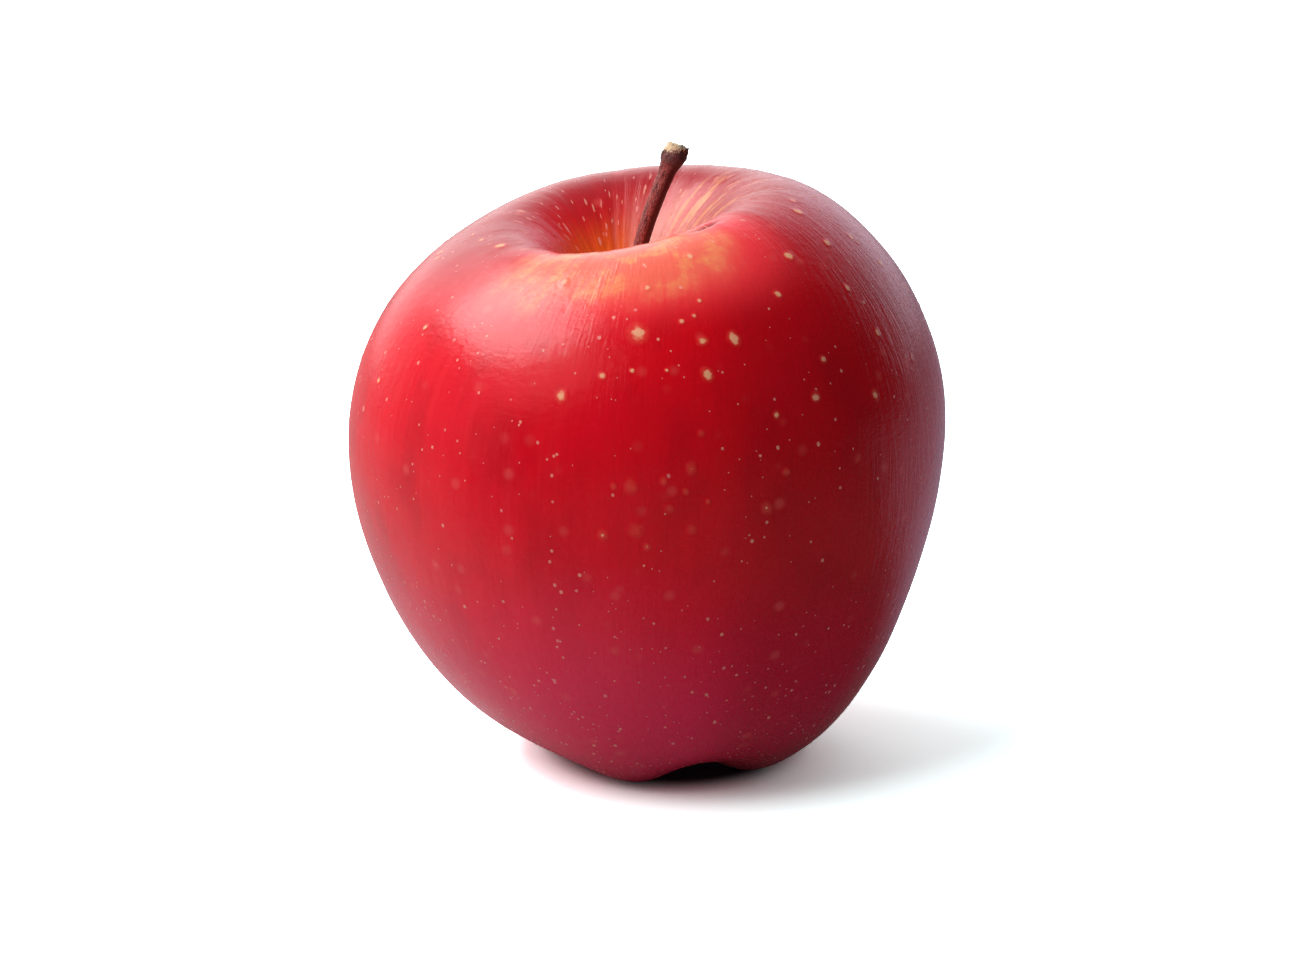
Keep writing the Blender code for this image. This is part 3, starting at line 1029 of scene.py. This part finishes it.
EYE_LEVEL = 6.3 * MM
SEPAL_SIZES = {
    "Turn": 0.0,
    "Number": 1,
    "Ring": 2.4 * MM,
    "Root Drop": 1.4 * MM,
    "Length": 3.6 * MM,
    "Width": 2.3 * MM,
    "Lean": 0.5 * MM,
    "Flare": 1.1 * MM,
    "Crumple": 0.7 * MM,
    "Thickness": 0.16 * MM,
}
SEPAL_ROOT = -0.40
SEPAL_CUP = 0.35 * MM
SEPAL_TWIST = 60.0
FLARE_START = 0.55
SEAM_DISTANCE = 0.001 * MM
TUFT_SIZES = {
    "Filaments": 20,
    "Root Level": 9.7 * MM,
    "Length": 5.4 * MM,
    "Root Spread": 0.55 * MM,
    "Tip Spread": 1.15 * MM,
    "Thread": 0.075 * MM,
    "Anther": 0.19 * MM,
    "Curl": 0.9 * MM,
}
ANTHER_STRETCH = (0.8, 0.8, 1.5)
SEPAL_BROWN = (0.16, 0.085, 0.045, 1.0)
SEPAL_GREY = (0.34, 0.27, 0.19, 1.0)
SEPAL_DARK = (0.045, 0.024, 0.015, 1.0)
THREAD_BROWN = (0.12, 0.06, 0.03, 1.0)
ANTHER_DARK = (0.028, 0.016, 0.012, 1.0)


def join(tree, *geometries):
    """Several geometries as one."""
    node = add_node(tree, "GeometryNodeJoinGeometry")
    for geometry in geometries:
        tree.links.new(geometry, node.inputs[0])
    return node.outputs[0]


def build_sepal(tree, _, size):
    """A dried sepal: a pointed blade that hangs from the eye's rim and curls at its tip."""
    weave = {"Size X": 2.0, "Size Y": 1.0 - SEPAL_ROOT, "Vertices X": 21, "Vertices Y": 49}
    grid = made(tree, "GeometryNodeMeshGrid", weave)
    across, y, _ = split(tree, position(tree))
    along = y + 0.5 * (1.0 + SEPAL_ROOT)
    number = size["Number"] * 7.3
    rough_place = combine(tree, across * 0.9, along * 2.2, number)
    crumple = (noise(tree, rough_place, 2.2, 3.0, 0.55) - 0.5) * size["Crumple"] * 2.0
    edge_tear = (noise(tree, combine(tree, along * 6.0, number, 0.0), 2.0, 2.0) - 0.5) * 0.25

    narrowing = 1.0 - (along.most(0.0) ** 1.5) * 0.93
    half_width = size["Width"] * 0.5 * (narrowing + edge_tear * across * across)
    lean = (along.most(0.0) * math.pi).sin() ** 2.0 * size["Lean"]
    flare = (along - FLARE_START).most(0.0) / (1.0 - FLARE_START) * size["Flare"]
    radius = size["Ring"] - lean + flare + crumple * (along.most(0.0) * 0.8 + 0.2)
    radius = radius + across * across * SEPAL_CUP
    turn = across * half_width / size["Ring"] + size["Turn"] + crumple * SEPAL_TWIST * along
    x = turn.sin() * radius + BASE_MIDDLE.x
    y = -turn.cos() * radius + BASE_MIDDLE.y
    z = EYE_LEVEL - size["Root Drop"] - size["Length"] * along + crumple * 0.4
    kept = store(tree, grid, "blade", combine(tree, across, along, number), "FLOAT_VECTOR")
    front = move(tree, kept, Position=combine(tree, x, y, z))
    thicken = {"Mesh": front, "Offset Scale": size["Thickness"], "Individual": False}
    raised = made(tree, "GeometryNodeExtrudeMesh", thicken)
    back = made(tree, "GeometryNodeFlipFaces", {"Mesh": front})
    closed = {"Geometry": join(tree, raised, back), "Distance": SEAM_DISTANCE}
    return made(tree, "GeometryNodeMergeByDistance", closed)


def filament_place(tree, along, size):
    """A point of a dried filament, from its root at 0 to its tip at 1."""
    turn = Field(tree, named_attribute(tree, "turn"))
    spread = Field(tree, named_attribute(tree, "spread"))
    reach = Field(tree, named_attribute(tree, "reach"))
    ring = size["Root Spread"] + (size["Tip Spread"] - size["Root Spread"]) * along
    ring = ring * spread
    wander = combine(tree, turn * 3.0, reach * 9.0, along * 1.3)
    curl_x = (noise(tree, wander, 1.5, 1.0) - 0.5) * size["Curl"] * 2.0 * along
    curl_y = (noise(tree, stretched(tree, wander, (-1.0, -1.0, 1.0)), 1.5, 1.0) - 0.5) * along
    x = turn.sin() * ring + curl_x + BASE_MIDDLE.x
    y = -turn.cos() * ring + curl_y * size["Curl"] * 2.0 + BASE_MIDDLE.y
    return combine(tree, x, y, size["Root Level"] - size["Length"] * reach * along)


def build_tuft(tree, _, size):
    """The dried stamens: thin curled threads with a small dark anther on each."""
    roots = made(tree, "GeometryNodePoints", {"Count": size["Filaments"]})
    roots = store(tree, roots, "turn", random_value(tree, 0.0, math.tau, 1))
    roots = store(tree, roots, "spread", random_value(tree, 0.3, 1.0, 2))
    roots = store(tree, roots, "reach", random_value(tree, 0.6, 1.0, 4))

    line = made(tree, "GeometryNodeCurvePrimitiveLine")
    line = made(tree, "GeometryNodeResampleCurve", {"Curve": line, "Count": 12})
    line = store(tree, line, "along", made(tree, "GeometryNodeSplineParameter"))
    threads = made(tree, "GeometryNodeInstanceOnPoints", {"Points": roots, "Instance": line})
    threads = made(tree, "GeometryNodeRealizeInstances", {"Geometry": threads})
    along = Field(tree, named_attribute(tree, "along"))
    threads = move(tree, threads, Position=filament_place(tree, along, size))
    outline = {"Resolution": 6, "Radius": size["Thread"]}
    section = made(tree, "GeometryNodeCurvePrimitiveCircle", outline)
    sweep = {"Curve": threads, "Profile Curve": section, "Fill Caps": True}
    tubes = made(tree, "GeometryNodeCurveToMesh", sweep)

    tip = add_node(tree, "ShaderNodeValue").outputs[0]
    tip.default_value = 1.0
    tips = move(tree, roots, Position=filament_place(tree, Field(tree, tip), size))
    tips = store(tree, tips, "along", 1.0)
    ball = {"Radius": size["Anther"], "Subdivisions": 2}
    anther = made(tree, "GeometryNodeMeshIcoSphere", ball)
    copies = {"Points": tips, "Instance": anther, "Scale": ANTHER_STRETCH}
    return join(tree, tubes, made(tree, "GeometryNodeInstanceOnPoints", copies))


def make_dried_sepal():
    """Dry brown sepal, greyish and downy, with darker veins along it and a singed edge."""
    material, tree, shader = new_material("dried_sepal")
    blade = shader_vector(tree, "blade")
    across, along, _ = split(tree, blade)
    veins = noise(tree, stretched(tree, blade, (5.0, 0.8, 1.0)), 2.0, 3.0, 0.6)
    down = noise(tree, object_place(tree), 5200.0, 2.0, 0.7)
    colour = mix(tree, veins.ramp(0.35, 0.65), SEPAL_BROWN, SEPAL_GREY)
    colour = mix(tree, down.ramp(0.45, 0.70) * 0.5, colour, SEPAL_GREY)
    edge = (across * across + along.most(0.0) ** 4.0 * 0.7).ramp(0.55, 1.0)
    colour = mix(tree, edge * 0.75, colour, SEPAL_DARK)
    tree.links.new(colour, shader.inputs["Base Color"])
    shader.inputs["Roughness"].default_value = 0.85
    tree.links.new(bump(tree, veins * 1.5 + down, 0.12 * MM), shader.inputs["Normal"])
    return material


def make_dried_thread():
    """Dry brown thread, nearly black at the anther."""
    material, tree, shader = new_material("dried_stamen")
    along = shader_number(tree, "along")
    grain = noise(tree, object_place(tree), 3000.0, 2.0, 0.6)
    colour = mix(tree, along.ramp(0.75, 1.0), THREAD_BROWN, ANTHER_DARK)
    colour = mix(tree, grain.ramp(0.5, 0.75) * 0.5, colour, SEPAL_GREY)
    tree.links.new(colour, shader.inputs["Base Color"])
    shader.inputs["Roughness"].default_value = 0.8
    tree.links.new(bump(tree, grain, 0.05 * MM), shader.inputs["Normal"])
    return material


# ---------------------------------------------------------------- floor, light and camera

WHITE = (1.0, 1.0, 1.0, 1.0)
FLOOR_SIZE = 3.0
FLOOR_WHITE = (2.55, 3.05, 3.05, 1.0)
# Painted contact shadow under the base
FLOOR_CONTACT_SHADOW = (0.05, 0.04, 0.07, 1.0)
FLOOR_GREY = (0.50, 0.50, 0.52, 1.0)
FLOOR_LILAC = (0.46, 0.40, 0.54, 1.0)
FLOOR_LIFT = 0.03
CONTACT_SHADOW_RING = (12.5 * MM, 19.0 * MM)
MIRROR_FRONT = (-0.115, -0.035)
MIRROR_RIGHT = (0.018, 0.055)
MIRROR_REACH = (0.04, 0.20)
MIRROR_SHARE = 0.50
MIRROR_LEAST = 0.02
BACK_WALL = (0.38, 1.0)
BACK_WALL_LEVEL = 1.60
LEFT_WALL = (-1.0, -0.5)
LEFT_WALL_FRONT = (-0.64, -0.45)
LEFT_WALL_LEVEL = 0.34
AMBIENT_LEVEL = 0.17
SEEN_LEVEL = 1.05
RIGHT_TINT = (0.92, 0.84, 1.02, 1.0)
APPLE_MIDDLE = Vector((0.0, 0.0, 0.04))
KEY_PLACE = Vector((-0.40, 0.20, 0.54))
KEY_SIZE = (0.34, 0.60)
KEY_POWER = 3.8
FILL_PLACE = Vector((-0.58, -0.40, 0.78))
FILL_SIZE = (0.60, 0.60)
FILL_POWER = 5.3
CAMERA_DISTANCE = 0.5
CAMERA_ELEVATION = math.radians(16.2)
CAMERA_AIM = Vector((0.35 * MM, 0.0, 37.2 * MM))
CAMERA_LENS = 104.0
CAMERA_SENSOR = 36.0


def add_object(name, data):
    """A new object in the scene."""
    thing = bpy.data.objects.new(name, data)
    bpy.context.collection.objects.link(thing)
    return thing


def aim_along(thing, direction):
    """Turn a lamp or a camera to look along a direction."""
    thing.rotation_mode = "QUATERNION"
    thing.rotation_quaternion = direction.to_track_quat("-Z", "Y")


def mirrored_floor(tree, x, y):
    """What the floor gives back to the gloss: little from the front and right, lilac behind."""
    front = y.ramp(*MIRROR_FRONT)
    right = (x - y * 0.6).ramp(*MIRROR_RIGHT, 1.0, 0.15)
    near = ((x * x + y * y) ** 0.5).ramp(*MIRROR_REACH, 1.0, 0.55)
    behind = y.ramp(0.0, 0.03) * x.ramp(0.02, 0.05)
    level = front * right * near * MIRROR_SHARE + MIRROR_LEAST
    return mix(tree, behind, combine(tree, level, level, level), FLOOR_LILAC)


def make_floor():
    """A plain white table top with a painted contact shadow, darkest where the base of the apple
    touches it.
    """
    bm = bmesh.new()
    bmesh.ops.create_grid(bm, x_segments=1, y_segments=1, size=FLOOR_SIZE)
    mesh = bpy.data.meshes.new("floor")
    bm.to_mesh(mesh)
    bm.free()
    floor = add_object("floor", mesh)
    material, tree, shader = new_material("white_table")
    x, y, _ = split(tree, object_place(tree))
    path = add_node(tree, "ShaderNodeLightPath")
    seen = Field(tree, path.outputs["Is Camera Ray"])
    scattered = path.outputs["Is Diffuse Ray"]
    given_back = mix(tree, scattered, mirrored_floor(tree, x, y), FLOOR_GREY)
    # Painted contact shadow: near black within the ring round the base, as the camera sees it
    clear_of_contact_shadow = distance_from(x, y, BASE_MIDDLE).ramp(*CONTACT_SHADOW_RING)
    bright = mix(tree, clear_of_contact_shadow, FLOOR_CONTACT_SHADOW, FLOOR_WHITE)
    tree.links.new(mix(tree, seen, given_back, bright), shader.inputs["Base Color"])
    shader.inputs["Roughness"].default_value = 0.8
    shader.inputs["Specular IOR Level"].default_value = 0.2
    shader.inputs["Emission Color"].default_value = WHITE
    feed(tree, shader.inputs["Emission Strength"], seen * clear_of_contact_shadow * FLOOR_LIFT)
    mesh.materials.append(material)


def make_world():
    """A dark studio with a white wall behind the apple and a grey one to its left."""
    world = bpy.data.worlds.new("studio")
    bpy.context.scene.world = world
    world.use_nodes = True
    tree = world.node_tree
    tree.nodes.clear()
    x, y, _ = split(tree, add_node(tree, "ShaderNodeTexCoord").outputs["Generated"])
    back = y.ramp(*BACK_WALL) * BACK_WALL_LEVEL
    left = x.ramp(*LEFT_WALL, 1.0, 0.0) * y.ramp(*LEFT_WALL_FRONT)
    level = back + left * LEFT_WALL_LEVEL
    path = add_node(tree, "ShaderNodeLightPath")
    seen = Field(tree, path.outputs["Is Camera Ray"])
    scattered = Field(tree, path.outputs["Is Diffuse Ray"])
    glossy = Field(tree, path.outputs["Is Glossy Ray"])
    strength = (level + scattered * AMBIENT_LEVEL) * (1.0 - seen) + seen * SEEN_LEVEL
    tinted = mix(tree, glossy * x.ramp(-0.1, 0.4), WHITE, RIGHT_TINT)
    shine = made(tree, "ShaderNodeBackground", {"Color": tinted, "Strength": strength})
    result = tree.nodes.new("ShaderNodeOutputWorld")
    tree.links.new(shine, result.inputs["Surface"])


def soft_box(name, place, aim, size, power):
    """A soft box at a place, aimed at a point and unseen by the camera."""
    data = bpy.data.lights.new(name, "AREA")
    data.shape = "RECTANGLE"
    data.size, data.size_y = size
    data.energy = power
    lamp = add_object(name, data)
    lamp.location = place
    aim_along(lamp, aim - place)
    lamp.visible_camera = False
    return lamp


def make_lights():
    """A large soft box above, to the left and behind, and a soft fill without a reflection."""
    straight_down = Vector((KEY_PLACE.x, KEY_PLACE.y, 0.0))
    soft_box("key_box", KEY_PLACE, straight_down, KEY_SIZE, KEY_POWER)
    fill = soft_box("fill_box", FILL_PLACE, APPLE_MIDDLE, FILL_SIZE, FILL_POWER)
    fill.visible_glossy = False


def make_camera():
    """A long lens, a little above the apple."""
    data = bpy.data.cameras.new("camera")
    data.lens = CAMERA_LENS
    data.sensor_width = CAMERA_SENSOR
    camera = add_object("camera", data)
    away = Vector((0.0, -math.cos(CAMERA_ELEVATION), math.sin(CAMERA_ELEVATION)))
    camera.location = CAMERA_AIM + away * CAMERA_DISTANCE
    aim_along(camera, -away)
    bpy.context.scene.camera = camera


# ---------------------------------------------------------------- the apple


def attach(piece, slot, *nodes):
    """A finished piece rides on the fruit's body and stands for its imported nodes."""
    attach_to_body(piece, "root")
    if nodes:
        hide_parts(*nodes)


def make_apple():
    """Every visible piece."""
    ground = make_ground_colour()
    finish = make_wax_finish()
    skin = make_skin(ground, finish)
    fruit_tree = geometry_tree("fruit_growth", FRUIT_SIZES, skin, build_fruit)
    fruit = grow("fruit_skin", fruit_tree, FRUIT_SIZES)
    attach(fruit, "skin", "fruit")

    cork = make_dot_material(ground, finish)
    kinds = (
        ("fine_dots", FINE_DOTS, where_fine),
        ("broad_dots", BROAD_DOTS, where_broad),
        ("cavity_dashes", CAVITY_DASHES, where_dashes),
    )
    for name, sizes, where in kinds:
        dot_tree = geometry_tree(name + "_growth", sizes, cork, scattered_dots(where))
        attach(grow(name, dot_tree, sizes, fruit.data), "skin", "fruit")
    chosen = {**CHOSEN_DOTS, "Skin": fruit}
    chosen_tree = geometry_tree("chosen_dot_growth", chosen, cork, build_chosen_dots)
    attach(grow("large_dots", chosen_tree, chosen, place_chosen_dots(fruit)), "skin", "fruit")

    stem_tree = geometry_tree("stem_growth", STEM_SIZES, make_bark(), build_stem)
    attach(grow("stem_bark", stem_tree, STEM_SIZES), "bark", "stem")

    sepal_tree = geometry_tree("sepal_growth", SEPAL_SIZES, make_dried_sepal(), build_sepal)
    for number in range(1, LOBES + 1):
        turn = LOBE_TURN + math.tau * (number - 0.5) / LOBES
        sizes = {**SEPAL_SIZES, "Turn": turn, "Number": number}
        attach(grow(f"dried_sepal_{number}", sepal_tree, sizes), "dry_sepal", f"sepal_{number}")

    tuft_tree = geometry_tree("tuft_growth", TUFT_SIZES, make_dried_thread(), build_tuft)
    attach(grow("stamen_tuft", tuft_tree, TUFT_SIZES), "dry_stamen", "stamens")


bpy.context.scene.view_settings.view_transform = "Standard"
make_camera()
make_world()
make_lights()
make_floor()
make_apple()
